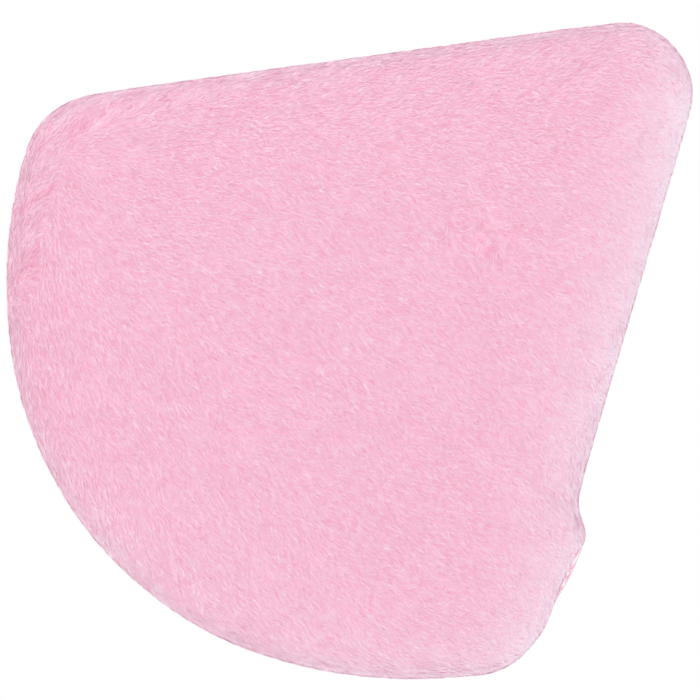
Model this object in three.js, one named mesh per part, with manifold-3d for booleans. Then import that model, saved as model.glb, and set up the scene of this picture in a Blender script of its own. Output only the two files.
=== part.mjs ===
// Plush powder puff with a ribbon finger strap, in millimetres, +Z up.
// It lies on its powdering face, tip towards +Y, strap on top. The origin is under its middle.
// Two velour covers are sewn edge to edge round a foam core, turned, and closed by hand.
import * as THREE from "three";
import { mergeVertices } from "three/addons/utils/BufferGeometryUtils.js";
import Module from "manifold-3d";

const wasm = await Module();
wasm.setup();

// Outline: a tip arc, a straight side, a corner arc, a flank arc and an end arc, each half alike
const sideAngle = THREE.MathUtils.degToRad(32.9);
const tipRadius = 7.2;
const sideLength = 55.3;
const cornerRadius = 8.6;
const cornerTurn = THREE.MathUtils.degToRad(65.6);
const flankRadius = 48.3;
const flankTurn = THREE.MathUtils.degToRad(26.9);

// Pad: heights are measured from the seam, which runs round the middle of the edge
const faceDepth = 6.5;
const faceCut = 0.5;
const faceCrown = 0.9;
const backHeight = 6.5;
const backCrown = 0.8;
const rollWidth = 9;
const rollPower = 2.3;
const coverThickness = 2.2;

// Seam: the covers meet at the foot of a groove and turn in as a flat allowance
const grooveDepth = 1.1;
const lipHeight = 1.5;
const seamGap = 0.3;
const allowanceWidth = 4.7;
const allowanceThickness = 1;
const clearance = 0.3;

// Ribbon strap
const ribbonWidth = 10;
const ribbonThickness = 0.5;
const ribbonCaught = 4.2;
const strapFromCorner = 3.4;
const strapRise = 9;
const strapShows = 0.6;
const strapTucked = 0.35;
const strapTurnRadius = 1.2;

// Bulge that the caught ribbon pushes out of one side
const bulgeHeight = 2.3;
const bulgeRise = 4;
const bulgeTail = 1;
const bulgePeakAhead = 0.35;

// Threads
const threadRadius = 0.2;
const overlockRadius = 0.25;
const overlockPitch = 3.2;
const overlockHalfHeight = 0.9;
const tackSpan = 4;
const closingStart = 8;
const closingLength = 28;
const closingPitch = 2.8;
const closingHalfHeight = 0.45;
const closingInset = 0.15;

// Counts
const tipSteps = 5;
const plainSideSteps = 4;
const riseSteps = 4;
const fallSteps = 6;
const cornerSteps = 6;
const flankSteps = 4;
const endSteps = 5;
const rollSteps = 5;
const innerRollSteps = 4;
const backRingShares = [0.4, 0.75];
const archSteps = 30;
const turnSteps = 3;
const ribbonStrips = 6;
const threadSides = 6;
const overlockSides = 4;

// Places that follow from the sizes above
const sideStart = tipRadius * (1 - Math.sin(sideAngle));
const strapOnSide = sideLength - strapFromCorner;
const strapFromTip = sideStart + strapOnSide * Math.cos(sideAngle);
const ribbonEdgeOnSide = ribbonWidth / 2 / Math.cos(sideAngle);
const bulgePeak = strapOnSide - ribbonEdgeOnSide - bulgePeakAhead;
const bulgeStart = bulgePeak - bulgeRise;
const bulgeEnd = strapOnSide + ribbonEdgeOnSide + bulgeTail;
const allowanceEnd = grooveDepth + allowanceWidth;
const allowanceTop = seamGap / 2 + allowanceThickness;
const ribbonEnd = grooveDepth + ribbonCaught;
const tackInset = (coverThickness + ribbonEnd) / 2;

// How far the ribbon pushes the outline out, at a distance along the side from the tip arc
function bulge(along) {
  if (along <= bulgeStart || along >= bulgeEnd) return 0;
  if (along < bulgePeak) {
    const rising = (along - bulgeStart) / bulgeRise;
    return (bulgeHeight * (1 - Math.cos(Math.PI * rising))) / 2;
  }
  return (bulgeHeight * (bulgeEnd - along)) / (bulgeEnd - bulgePeak);
}

// Walks one half of the outline from the tip: distance from the tip, half width and outward normal
function walkHalf(bulged) {
  const stops = [];
  let heading = Math.PI / 2;
  let back = 0;
  let wide = 0;
  let along = -tipRadius * (Math.PI / 2 - sideAngle);

  const add = (b, w, h, s) => {
    const normal = { back: -Math.sin(h), wide: Math.cos(h) };
    const out = bulged ? bulge(s) : 0;
    const base = { back: b, wide: w };
    stops.push({ back: b + normal.back * out, wide: w + normal.wide * out, normal, base });
  };
  const arc = (radius, turn, steps) => {
    const centre = { back: back + radius * Math.sin(heading), wide: wide - radius * Math.cos(heading) };
    for (let i = 1; i <= steps; i++) {
      const h = heading - (turn * i) / steps;
      back = centre.back - radius * Math.sin(h);
      wide = centre.wide + radius * Math.cos(h);
      add(back, wide, h, along + (radius * turn * i) / steps);
    }
    heading -= turn;
    along += radius * turn;
  };
  const straight = (length) => {
    back += length * Math.cos(heading);
    wide += length * Math.sin(heading);
    along += length;
    add(back, wide, heading, along);
  };

  add(back, wide, heading, along);
  arc(tipRadius, Math.PI / 2 - sideAngle, tipSteps);
  for (const step of sideSteps(bulged)) straight(step);
  arc(cornerRadius, cornerTurn, cornerSteps);
  arc(flankRadius, flankTurn, flankSteps);
  arc(wide / Math.cos(heading), heading + Math.PI / 2, endSteps);
  return stops;
}

// Lengths of the straight stretches of a side, finer where the bulge needs them
function sideSteps(bulged) {
  const plain = bulged ? Math.min(bulgeStart, sideLength) : sideLength;
  const steps = Array(plainSideSteps).fill(plain / plainSideSteps);
  if (!bulged) return steps;
  const peak = Math.min(bulgePeak, sideLength);
  steps.push(...Array(riseSteps).fill((peak - plain) / riseSteps));
  steps.push(...Array(fallSteps).fill((sideLength - peak) / fallSteps));
  return steps.filter((step) => step > 0);
}

const plainHalf = walkHalf(false);
const bulgedHalf = walkHalf(true);
const puffLength = plainHalf[plainHalf.length - 1].back;
const tipY = puffLength / 2;
const centreY = tipY - strapFromTip;
const seamZ = faceDepth;

// The whole outline, counter-clockwise seen from above, with the way from it to the middle
const outline = [
  ...plainHalf.slice(1, -1).map((stop) => toFrame(stop, 1)).reverse(),
  toFrame(plainHalf[0], 1),
  ...bulgedHalf.slice(1).map((stop) => toFrame(stop, -1)),
];

function toFrame(stop, side) {
  const normal = new THREE.Vector2(side * stop.normal.wide, -stop.normal.back);
  const base = new THREE.Vector2(side * stop.base.wide, tipY - stop.base.back);
  return {
    x: side * stop.wide,
    y: tipY - stop.back,
    depth: base.sub(new THREE.Vector2(0, centreY)).dot(normal),
  };
}

// The outline drawn in by a distance, or scaled towards the middle by a share, at a height
function ring(height, inset, share = 1) {
  return outline.map(({ x, y, depth }) => {
    const scale = (1 - inset / depth) * share;
    return new THREE.Vector3(x * scale, centreY + (y - centreY) * scale, seamZ + height);
  });
}

// Half width of the outline at a place along Y, on one side, or of the outline drawn in
function edgeAt(y, side, inset = 0) {
  const half = ring(0, inset).filter(({ x }) => x * side > 0);
  const next = half.findIndex((point, i) => i > 0 && (point.y - y) * (half[i - 1].y - y) <= 0);
  const [a, b] = [half[next - 1], half[next]];
  return side * THREE.MathUtils.mapLinear(y, a.y, b.y, a.x, b.x);
}

// A closed body from triangles, turned so that its faces point out
function closedBody(points, triangles) {
  let volume = 0;
  const cross = new THREE.Vector3();
  for (const [a, b, c] of triangles) {
    volume += points[a].dot(cross.crossVectors(points[b], points[c]));
  }
  const index = triangles.flatMap(([a, b, c]) => (volume > 0 ? [a, b, c] : [a, c, b]));
  const geometry = new THREE.BufferGeometry();
  const places = points.flatMap((point) => point.toArray());
  geometry.setAttribute("position", new THREE.Float32BufferAttribute(places, 3));
  geometry.setIndex(index);
  return geometry;
}

// A body whose surface runs from one middle point through rings to another middle point
function ringBody(startHeight, rings, endHeight) {
  const count = outline.length;
  const points = [new THREE.Vector3(0, centreY, seamZ + startHeight), ...rings.flat()];
  points.push(new THREE.Vector3(0, centreY, seamZ + endHeight));
  const last = points.length - 1;
  const triangles = [];
  for (let i = 0; i < count; i++) {
    const j = (i + 1) % count;
    triangles.push([0, 1 + i, 1 + j]);
    for (let r = 0; r + 1 < rings.length; r++) {
      const low = 1 + r * count;
      const high = low + count;
      triangles.push([low + i, high + i, high + j], [low + i, high + j, low + j]);
    }
    const edge = 1 + (rings.length - 1) * count;
    triangles.push([edge + j, edge + i, last]);
  }
  return closedBody(points, triangles);
}

// A body swept through sections with as many points each, joined in a ring or capped at both ends
function sweepBody(sections, joined) {
  const sides = sections[0].length;
  const count = sections.length;
  const triangles = [];
  for (let s = 0; s < (joined ? count : count - 1); s++) {
    const here = s * sides;
    const next = ((s + 1) % count) * sides;
    for (let i = 0; i < sides; i++) {
      const j = (i + 1) % sides;
      triangles.push([here + i, here + j, next + j], [here + i, next + j, next + i]);
    }
  }
  const cap = (from, turned) => {
    for (let i = 0; i < sides / 2 - 1; i++) {
      const quad = [from + i, from + i + 1, from + sides - 2 - i, from + sides - 1 - i];
      if (turned) quad.reverse();
      triangles.push([quad[0], quad[3], quad[2]], [quad[0], quad[2], quad[1]]);
    }
  };
  if (!joined) {
    cap(0, false);
    cap((count - 1) * sides, true);
  }
  return closedBody(sections.flat(), triangles);
}

// A thread through points, with one direction that its sections keep to
function thread(points, radius, side, joined, sides = threadSides) {
  const count = points.length;
  const sections = points.map((point, i) => {
    const before = joined ? points[(i + count - 1) % count] : points[Math.max(i - 1, 0)];
    const after = joined ? points[(i + 1) % count] : points[Math.min(i + 1, count - 1)];
    const run = after.clone().sub(before).normalize();
    const across = new THREE.Vector3().crossVectors(run, side).normalize();
    const up = new THREE.Vector3().crossVectors(across, run);
    return Array.from({ length: sides }, (_, k) => {
      const angle = (2 * Math.PI * k) / sides;
      return point
        .clone()
        .addScaledVector(across, radius * Math.cos(angle))
        .addScaledVector(up, radius * Math.sin(angle));
    });
  });
  return sweepBody(sections, joined);
}

function toSolid(geometry) {
  const bare = geometry.clone();
  bare.deleteAttribute("normal");
  bare.deleteAttribute("uv");
  const merged = mergeVertices(bare);
  return new wasm.Manifold(
    new wasm.Mesh({
      numProp: 3,
      vertProperties: new Float32Array(merged.attributes.position.array),
      triVerts: new Uint32Array(merged.index.array),
    }),
  );
}

function cut(geometry, tools) {
  let solid = toSolid(geometry);
  for (const tool of tools) solid = solid.subtract(toSolid(tool));
  const mesh = solid.getMesh();
  const result = new THREE.BufferGeometry();
  result.setAttribute("position", new THREE.Float32BufferAttribute(mesh.vertProperties, 3));
  result.setIndex(new THREE.Uint32BufferAttribute(mesh.triVerts, 1));
  return result;
}

// Rolled edge: rings from a start height near the lip of the seam groove up to where the crown starts
function rollRings({ sign, lipInset, lip, rim, width, steps, start = lip }) {
  const first = Math.asin(((start - lip) / (rim - lip)) ** (rollPower / 2));
  return Array.from({ length: steps + 1 }, (_, i) => {
    const angle = first + (Math.PI / 2 - first) * (i / steps);
    const inset = lipInset + width * (1 - Math.cos(angle) ** (2 / rollPower));
    const height = lip + (rim - lip) * Math.sin(angle) ** (2 / rollPower);
    return ring(sign * height, inset);
  });
}

// Sizes of one cover, above or below the seam: sign, total height, crown, and depth cut off flat
const faceSide = { sign: -1, total: faceDepth + faceCut, crown: faceCrown, flat: faceCut };
const backSide = { sign: 1, total: backHeight, crown: backCrown, flat: 0 };

// Rings of the crown, from near the middle out to the rolled edge, cut flat where the cover rests
function crownRings({ sign, total, crown, flat }, drop, inset) {
  const flatShare = Math.sqrt(Math.max(1 - (crown - flat) / crown, 0));
  const shares = flat > 0 ? [flatShare, (1 + flatShare) / 2] : backRingShares;
  return shares.map((share) => {
    const height = Math.min(total - crown * share ** 2, total - flat) - drop;
    return ring(sign * height, inset, share);
  });
}

// The rolled edge of a cover's inner wall, or of what lies against it at a gap
function innerRoll({ sign, total, crown }, gap, start) {
  return rollRings({
    sign,
    lipInset: coverThickness + gap,
    lip: allowanceTop - gap,
    rim: total - crown - coverThickness - gap,
    width: rollWidth - coverThickness,
    steps: innerRollSteps,
    start,
  });
}

// One velour cover: crown, rolled edge, seam groove, allowance turned in, and the same again inside
function coverGeometry(side) {
  const { sign, total, crown, flat } = side;
  const rim = total - crown;
  const rings = [
    ...crownRings(side, 0, rollWidth),
    ...rollRings({ sign, lipInset: 0, lip: lipHeight, rim, width: rollWidth, steps: rollSteps }).reverse(),
    ring((sign * seamGap) / 2, grooveDepth),
    ring((sign * seamGap) / 2, allowanceEnd),
    ring(sign * allowanceTop, allowanceEnd),
    ...innerRoll(side, 0),
    ...crownRings(side, coverThickness, rollWidth).reverse(),
  ];
  const middle = total - flat;
  return ringBody(sign * middle, rings, sign * (middle - coverThickness));
}

// Foam core: it fills the covers and is pressed in round the allowance and its threads
function coreGeometry() {
  const drop = coverThickness + clearance;
  const groove = allowanceTop + 2 * (clearance + threadRadius) + clearance;
  const grooveEnd = allowanceEnd + 2 * (clearance + overlockRadius);
  const halfRings = (side) => [
    ...crownRings(side, drop, rollWidth + clearance),
    ...innerRoll(side, clearance, groove).reverse(),
    ring(side.sign * groove, grooveEnd),
  ];
  const rings = [...halfRings(backSide), ...halfRings(faceSide).reverse()];
  return ringBody(backHeight - drop, rings, drop - faceDepth);
}

// One lengthwise line of the ribbon, from its caught end on -X over the back to the one on +X
function ribbonLine(y, caught) {
  const top = backHeight + strapRise - strapTurnRadius;
  const reach = (side) => edgeAt(y, side) + (side < 0 ? strapShows : -strapTucked);
  const endTo = (side) => {
    const points = [new THREE.Vector2(side * edgeAt(y, side, caught), 0)];
    for (let i = 0; i < turnSteps; i++) {
      const angle = (Math.PI / 2) * (i / turnSteps);
      const out = reach(side) - strapTurnRadius * (1 - Math.sin(angle));
      points.push(new THREE.Vector2(side * out, strapTurnRadius * (1 - Math.cos(angle))));
    }
    return points;
  };
  const arch = Array.from({ length: archSteps + 1 }, (_, i) => {
    const angle = Math.PI * (i / archSteps);
    const wide = reach(i < archSteps / 2 ? -1 : 1) * Math.cos(angle);
    return new THREE.Vector2(-wide, strapTurnRadius + top * Math.sin(angle));
  });
  return [...endTo(-1), ...arch, ...endTo(1).reverse()];
}

// The ribbon, or with room all round it the channel that it lies in
function ribbonGeometry(room = 0) {
  const width = ribbonWidth + 2 * room;
  const half = ribbonThickness / 2 + room;
  const lines = Array.from({ length: ribbonStrips + 1 }, (_, i) => {
    const y = centreY + width * (i / ribbonStrips - 1 / 2);
    return { y, line: ribbonLine(y, ribbonEnd + room) };
  });
  const sections = lines[0].line.map((_, i) => {
    const row = (rise) =>
      lines.map(({ y, line }) => {
        const before = line[Math.max(i - 1, 0)];
        const after = line[Math.min(i + 1, line.length - 1)];
        const run = after.clone().sub(before).normalize();
        return new THREE.Vector3(line[i].x - run.y * rise, y, seamZ + line[i].y + run.x * rise);
      });
    return [...row(half), ...row(-half).reverse()];
  });
  return sweepBody(sections, false);
}

// Where a strap tack's two legs go through ribbon and allowances
function tackLegs(side) {
  const middle = new THREE.Vector2(side * edgeAt(centreY, side), centreY);
  const inwards = new THREE.Vector2(-side * Math.cos(sideAngle), -Math.sin(sideAngle));
  const alongSide = new THREE.Vector2(side * Math.sin(sideAngle), -Math.cos(sideAngle));
  middle.addScaledVector(inwards, tackInset);
  return [-1, 1].map((end) => middle.clone().addScaledVector(alongSide, (end * tackSpan) / 2));
}

function tackHoles(side) {
  const height = 2 * (allowanceTop + clearance);
  return tackLegs(side).map(({ x, y }) => {
    const hole = new THREE.CylinderGeometry(threadRadius + clearance, threadRadius + clearance, height, 8);
    return hole.rotateX(Math.PI / 2).translate(x, y, seamZ);
  });
}

// A stitch drawn tight: one closed loop of thread through both legs
function tackGeometry(side) {
  const [a, b] = tackLegs(side).map(({ x, y }) => new THREE.Vector3(x, y, seamZ));
  const along = b.clone().sub(a).normalize();
  const up = new THREE.Vector3(0, 0, 1);
  const reach = allowanceTop + clearance + threadRadius;
  const bend = 2 * threadRadius;
  const corner = (leg, inward, height, first) => {
    const onLeg = leg.clone().addScaledVector(up, height * (reach - bend));
    const onBar = leg.clone().addScaledVector(up, height * reach).addScaledVector(along, inward * bend);
    return first ? [onLeg, onBar] : [onBar, onLeg];
  };
  const loop = [
    ...corner(a, 1, 1, true),
    ...corner(b, -1, 1, false),
    ...corner(b, -1, -1, true),
    ...corner(a, 1, -1, false),
  ];
  return thread(loop, threadRadius, new THREE.Vector3().crossVectors(along, up), true);
}

// Overlock thread, which zigzags over the raw edges of both allowances all the way round
function overlockGeometry() {
  const inset = allowanceEnd + clearance + overlockRadius;
  const corners = ring(0, inset);
  const track = new THREE.CurvePath();
  corners.forEach((corner, i) => track.add(new THREE.LineCurve3(corner, corners[(i + 1) % corners.length])));
  const waves = Math.round(track.getLength() / overlockPitch);
  const points = track.getSpacedPoints(4 * waves).slice(0, -1);
  points.forEach((point, i) => {
    point.z += overlockHalfHeight * Math.sin((Math.PI / 2) * i);
  });
  return thread(points, overlockRadius, new THREE.Vector3(0, 0, 1), true, overlockSides);
}

// Hand stitches that close the gap through which the puff was turned, laid in the seam groove
function closingGeometry() {
  const start = new THREE.Vector2(
    (tipRadius - closingInset) * Math.cos(sideAngle),
    tipY - sideStart - closingInset * Math.sin(sideAngle),
  );
  const run = new THREE.Vector2(Math.sin(sideAngle), -Math.cos(sideAngle));
  const turns = Math.round((2 * closingLength) / closingPitch);
  const points = Array.from({ length: turns + 1 }, (_, i) => {
    const place = start.clone().addScaledVector(run, closingStart + (closingLength * i) / turns);
    return new THREE.Vector3(place.x, place.y, seamZ + (i % 2 ? closingHalfHeight : -closingHalfHeight));
  });
  const section = new THREE.Shape();
  section.absarc(0, 0, threadRadius, 0, 2 * Math.PI);
  return new THREE.ExtrudeGeometry(section, {
    extrudePath: new THREE.CatmullRomCurve3(points, false, "centripetal"),
    steps: 2 * turns,
    curveSegments: threadSides / 2,
    bevelEnabled: false,
  });
}

const materials = {
  faceVelour: { color: 0xf6bfd4, roughness: 0.95, metalness: 0 },
  backVelour: { color: 0xf3b6ce, roughness: 0.95, metalness: 0 },
  foam: { color: 0xf7efe2, roughness: 0.9, metalness: 0 },
  satin: { color: 0xf7c6da, roughness: 0.35, metalness: 0 },
  overlockThread: { color: 0xf2e3ea, roughness: 0.6, metalness: 0 },
  tackThread: { color: 0xf0b4cb, roughness: 0.6, metalness: 0 },
};

function mesh(name, geometry, look) {
  const piece = new THREE.Mesh(geometry, new THREE.MeshStandardMaterial(materials[look]));
  piece.name = name;
  return piece;
}

const stitchHoles = [-1, 1].flatMap(tackHoles);
const ribbonRoom = [ribbonGeometry(clearance), ...stitchHoles];

const powderPuff = new THREE.Group();
powderPuff.add(
  mesh("front_velour_cover", cut(coverGeometry(faceSide), ribbonRoom), "faceVelour"),
  mesh("back_velour_cover", cut(coverGeometry(backSide), ribbonRoom), "backVelour"),
  mesh("foam_core", coreGeometry(), "foam"),
  mesh("ribbon_strap", cut(ribbonGeometry(), stitchHoles), "satin"),
  mesh("overlock_thread", overlockGeometry(), "overlockThread"),
  mesh("left_strap_tack", tackGeometry(-1), "tackThread"),
  mesh("right_strap_tack", tackGeometry(1), "tackThread"),
  mesh("closing_stitches", closingGeometry(), "tackThread"),
);

export default powderPuff;
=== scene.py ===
"""Plush powder puff with a satin finger strap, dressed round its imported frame, in metres, +Z up.

The puff lies on its powdering face with its strap on top and its tip towards +Y.
The camera looks straight up at the powdering face.
"""

import math
from collections import namedtuple
import bpy
import numpy as np
from mathutils import Matrix, Vector
from mathutils.bvhtree import BVHTree


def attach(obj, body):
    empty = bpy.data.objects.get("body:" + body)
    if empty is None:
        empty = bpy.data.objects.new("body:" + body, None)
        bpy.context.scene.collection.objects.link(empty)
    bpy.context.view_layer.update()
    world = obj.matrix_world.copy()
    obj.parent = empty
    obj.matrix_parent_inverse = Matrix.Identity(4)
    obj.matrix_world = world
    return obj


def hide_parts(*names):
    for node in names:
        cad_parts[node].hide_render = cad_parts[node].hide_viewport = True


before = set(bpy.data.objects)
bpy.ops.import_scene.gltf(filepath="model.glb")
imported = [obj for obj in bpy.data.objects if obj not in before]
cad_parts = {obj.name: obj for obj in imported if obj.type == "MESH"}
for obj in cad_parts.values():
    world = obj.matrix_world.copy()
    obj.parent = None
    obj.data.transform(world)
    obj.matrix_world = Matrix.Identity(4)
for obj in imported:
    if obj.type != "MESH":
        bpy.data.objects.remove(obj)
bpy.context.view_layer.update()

MM = 0.001
TINY = 1e-12

# Outline: a tip arc, a straight side, a corner arc, a flank arc and an end arc, each half alike
SIDE_ANGLE = math.radians(32.9)
TIP_RADIUS = 7.2 * MM
SIDE_LENGTH = 55.3 * MM
CORNER_RADIUS = 8.6 * MM
CORNER_TURN = math.radians(65.6)
FLANK_RADIUS = 48.3 * MM
FLANK_TURN = math.radians(26.9)
WALK_STEP = 0.05 * MM
EDGE_SOFTENING = 1.2 * MM
EDGE_POINTS = 560

# Pad: heights are measured from the seam, which runs round the middle of the edge
FACE_DEPTH = 6.5 * MM
BACK_HEIGHT = 6.5 * MM
FACE_CROWN = 0.6 * MM
BACK_CROWN = 0.8 * MM
ROLL_WIDTH = 9 * MM
ROLL_POWER = 2.3
GROOVE_DEPTH = 1.1 * MM
LIP_HEIGHT = 0.55 * MM
LIP_ROUND = 0.1 * MM
SEAM_GAP = 0.3 * MM
BACK_TUCK = 0.15 * MM
ALLOWANCE_WIDTH = 4.7 * MM
ALLOWANCE_THICKNESS = 1 * MM
CLEARANCE = 0.3 * MM
WALL = 2.2 * MM

# Rings of points that the pad's surfaces are drawn through
CROWN_STEPS = 34
ROLL_STEPS = 18
INNER_CROWN_STEPS = 11
INNER_ROLL_STEPS = 9

# Ribbon strap
RIBBON_WIDTH = 10 * MM
RIBBON_THICKNESS = 0.3 * MM
SELVEDGE_THICKNESS = 0.42 * MM
SELVEDGE_WIDTH = 0.45 * MM
RIBBON_CAUGHT = 4.2 * MM
STRAP_FROM_CORNER = 3.4 * MM
STRAP_RISE = 9 * MM
STRAP_SHOWS = 0.32 * MM
STRAP_SHOWING_SHARE = 0.52
STRAP_TUCKED = 0.35 * MM
STRAP_TURN_RADIUS = 1.2 * MM
STRAP_FREE_HEIGHT = 5 * MM
RIPPLE = 0.12 * MM
RIPPLE_SIZE = 4 * MM
RIPPLE_SEED = 21
EDGE_DROOP = 0.35 * MM
TURN_STEPS = 10
ARCH_STEPS = 150
RIBBON_STRIPS = 24
STRIP_CROWDING = 0.8

# Bulge that the caught ribbon pushes out of the -X side
BULGE_HEIGHT = 2.1 * MM
BULGE_RISE = 4.1 * MM
BULGE_LEAD = 9 * MM
BULGE_LEAD_SHARE = 0.16
BULGE_TAIL = 1 * MM
BULGE_HOLLOW = 1.2
BULGE_WAVE = 0.07
BULGE_PEAK_BEHIND = 0.6 * MM

# Stuffing stands a little prouder at the -X corner and the end beside it, and less at the others
CORNER_FULLNESS = 0.42 * MM
CORNER_SPREAD = 4.5 * MM
END_FULLNESS = 0.08 * MM
END_SPREAD = 6 * MM
END_AFTER_FLANK = 5 * MM
TIP_SLACK = 0.4 * MM
TIP_SPREAD = 6 * MM
OTHER_CORNER_SLACK = 0.14 * MM
OTHER_CORNER_AHEAD = 2.5 * MM

# Threads
CLOSING_START = 8 * MM
CLOSING_LENGTH = 28 * MM
CLOSING_PITCH = 2.4 * MM
CLOSING_INSET = 0.5 * MM
CLOSING_SWING = 0.34 * MM
CLOSING_HALF_HEIGHT = 0.6 * MM
STITCH_STEPS = 16
THREAD_RADIUS = 0.11 * MM
THREAD_SIDES = 8
OVERLOCK_RADIUS = 0.25 * MM

# Camera: the photograph's frame is square, and its middle is at the aim
AIM = Vector((-1.83, -6.8, 0)) * MM
FRAME_WIDTH = 72.5 * MM
CAMERA_DISTANCE = 0.7
CAMERA_NEAR = 0.01
CAMERA_UP = Vector((0.758, 0.652, 0))
SENSOR = 36

# Light: the world's strength from the sides and from the poles, and each lamp's place, width and power
SIDE_LIGHT = 1.24
POLE_LIGHT = 0.845
LAMPS = {
    "front_lamp": ((0.15, -0.04, -0.5), 0.4, 0.65),
    "top_lamp": ((0.25, -0.2, 0.6), 0.3, 2.4),
}
FLOOR_REACH = 1.2

# Places that follow from the sizes above
TIP_TURN = math.pi / 2 - SIDE_ANGLE
SEAM_Z = FACE_DEPTH
STRAP_ON_SIDE = SIDE_LENGTH - STRAP_FROM_CORNER
RIBBON_EDGE_ON_SIDE = RIBBON_WIDTH / 2 / math.cos(SIDE_ANGLE)
BULGE_PEAK = STRAP_ON_SIDE - RIBBON_EDGE_ON_SIDE + BULGE_PEAK_BEHIND
BULGE_END = STRAP_ON_SIDE + RIBBON_EDGE_ON_SIDE + BULGE_TAIL
STRAP_FROM_TIP = TIP_RADIUS * (1 - math.sin(SIDE_ANGLE)) + STRAP_ON_SIDE * math.cos(SIDE_ANGLE)
ALLOWANCE_END = GROOVE_DEPTH + ALLOWANCE_WIDTH
ALLOWANCE_TOP = SEAM_GAP / 2 + ALLOWANCE_THICKNESS

# Flat directions of the straight +X side: out of the pad, and back from the tip
SIDE_OUTWARD = np.array([math.cos(SIDE_ANGLE), math.sin(SIDE_ANGLE)])
SIDE_RUN = np.array([math.sin(SIDE_ANGLE), -math.cos(SIDE_ANGLE)])


# Vectors and smooth noise

def unit(vectors):
    """Vectors scaled to length 1."""
    return vectors / np.maximum(np.linalg.norm(vectors, axis=1), TINY)[:, None]


def quarter_turned(vectors):
    """Flat vectors turned a quarter turn counter-clockwise."""
    return np.column_stack([-vectors[:, 1], vectors[:, 0]])


def turned(vectors, angle):
    """Flat vectors turned counter-clockwise, each by its own angle."""
    x, y = vectors.T
    return np.stack([x * np.cos(angle) - y * np.sin(angle), x * np.sin(angle) + y * np.cos(angle)], axis=1)


NOISE_CELLS = 128


def noise(flat, size, seed):
    """Smooth random values from -1 to 1 over flat points, in patches about as wide as size."""
    lattice = np.random.default_rng(seed).uniform(-1, 1, (NOISE_CELLS, NOISE_CELLS))
    place = flat / size + NOISE_CELLS / 2
    cell = np.floor(place).astype(int)
    part = place - cell
    ease = part * part * (3 - 2 * part)
    x, y = cell.T % NOISE_CELLS
    next_x = (x + 1) % NOISE_CELLS
    next_y = (y + 1) % NOISE_CELLS
    u, v = ease.T
    low = lattice[x, y] * (1 - u) + lattice[next_x, y] * u
    high = lattice[x, next_y] * (1 - u) + lattice[next_x, next_y] * u
    return low * (1 - v) + high * v


# The pad's outline

def walk_half():
    """One half of the edge from the tip: distance back, half width, heading and distance walked."""
    spans = []
    heading = math.pi / 2

    def add(turn, length):
        nonlocal heading
        steps = math.ceil(length / WALK_STEP)
        middle = (np.arange(steps) + 0.5) / steps
        spans.append(np.stack([heading - turn * middle, np.full(steps, length / steps)]))
        heading -= turn

    add(TIP_TURN, TIP_RADIUS * TIP_TURN)
    add(0, SIDE_LENGTH)
    add(CORNER_TURN, CORNER_RADIUS * CORNER_TURN)
    add(FLANK_TURN, FLANK_RADIUS * FLANK_TURN)
    headings, lengths = np.concatenate(spans, axis=1)
    wide = (np.sin(headings) * lengths).sum()
    end_turn = heading + math.pi / 2
    add(end_turn, wide / math.cos(heading) * end_turn)
    headings, lengths = np.concatenate(spans, axis=1)
    back = np.cumsum(np.cos(headings) * lengths)
    wide = np.cumsum(np.sin(headings) * lengths)
    return back, wide, headings, np.cumsum(lengths)


def bulge(along):
    """How far the ribbon pushes the edge out, at distances along the side from the tip arc."""

    def rise(length):
        share = np.clip((along - BULGE_PEAK + length) / length, 0, 1)
        return (1 - np.cos(math.pi * share)) / 2

    left = np.clip((BULGE_END - along) / (BULGE_END - BULGE_PEAK), 0, 1)
    falling = left**BULGE_HOLLOW + BULGE_WAVE * np.sin(2 * math.pi * left)
    rising = rise(BULGE_RISE) * (1 - BULGE_LEAD_SHARE) + rise(BULGE_LEAD) * BULGE_LEAD_SHARE
    return BULGE_HEIGHT * rising * falling


BACK, WIDE, HEADING, WALKED = walk_half()
TIP_Y = BACK[-1] / 2
CENTRE_Y = TIP_Y - STRAP_FROM_TIP
PLACES_AT_ONCE = 4096


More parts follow.
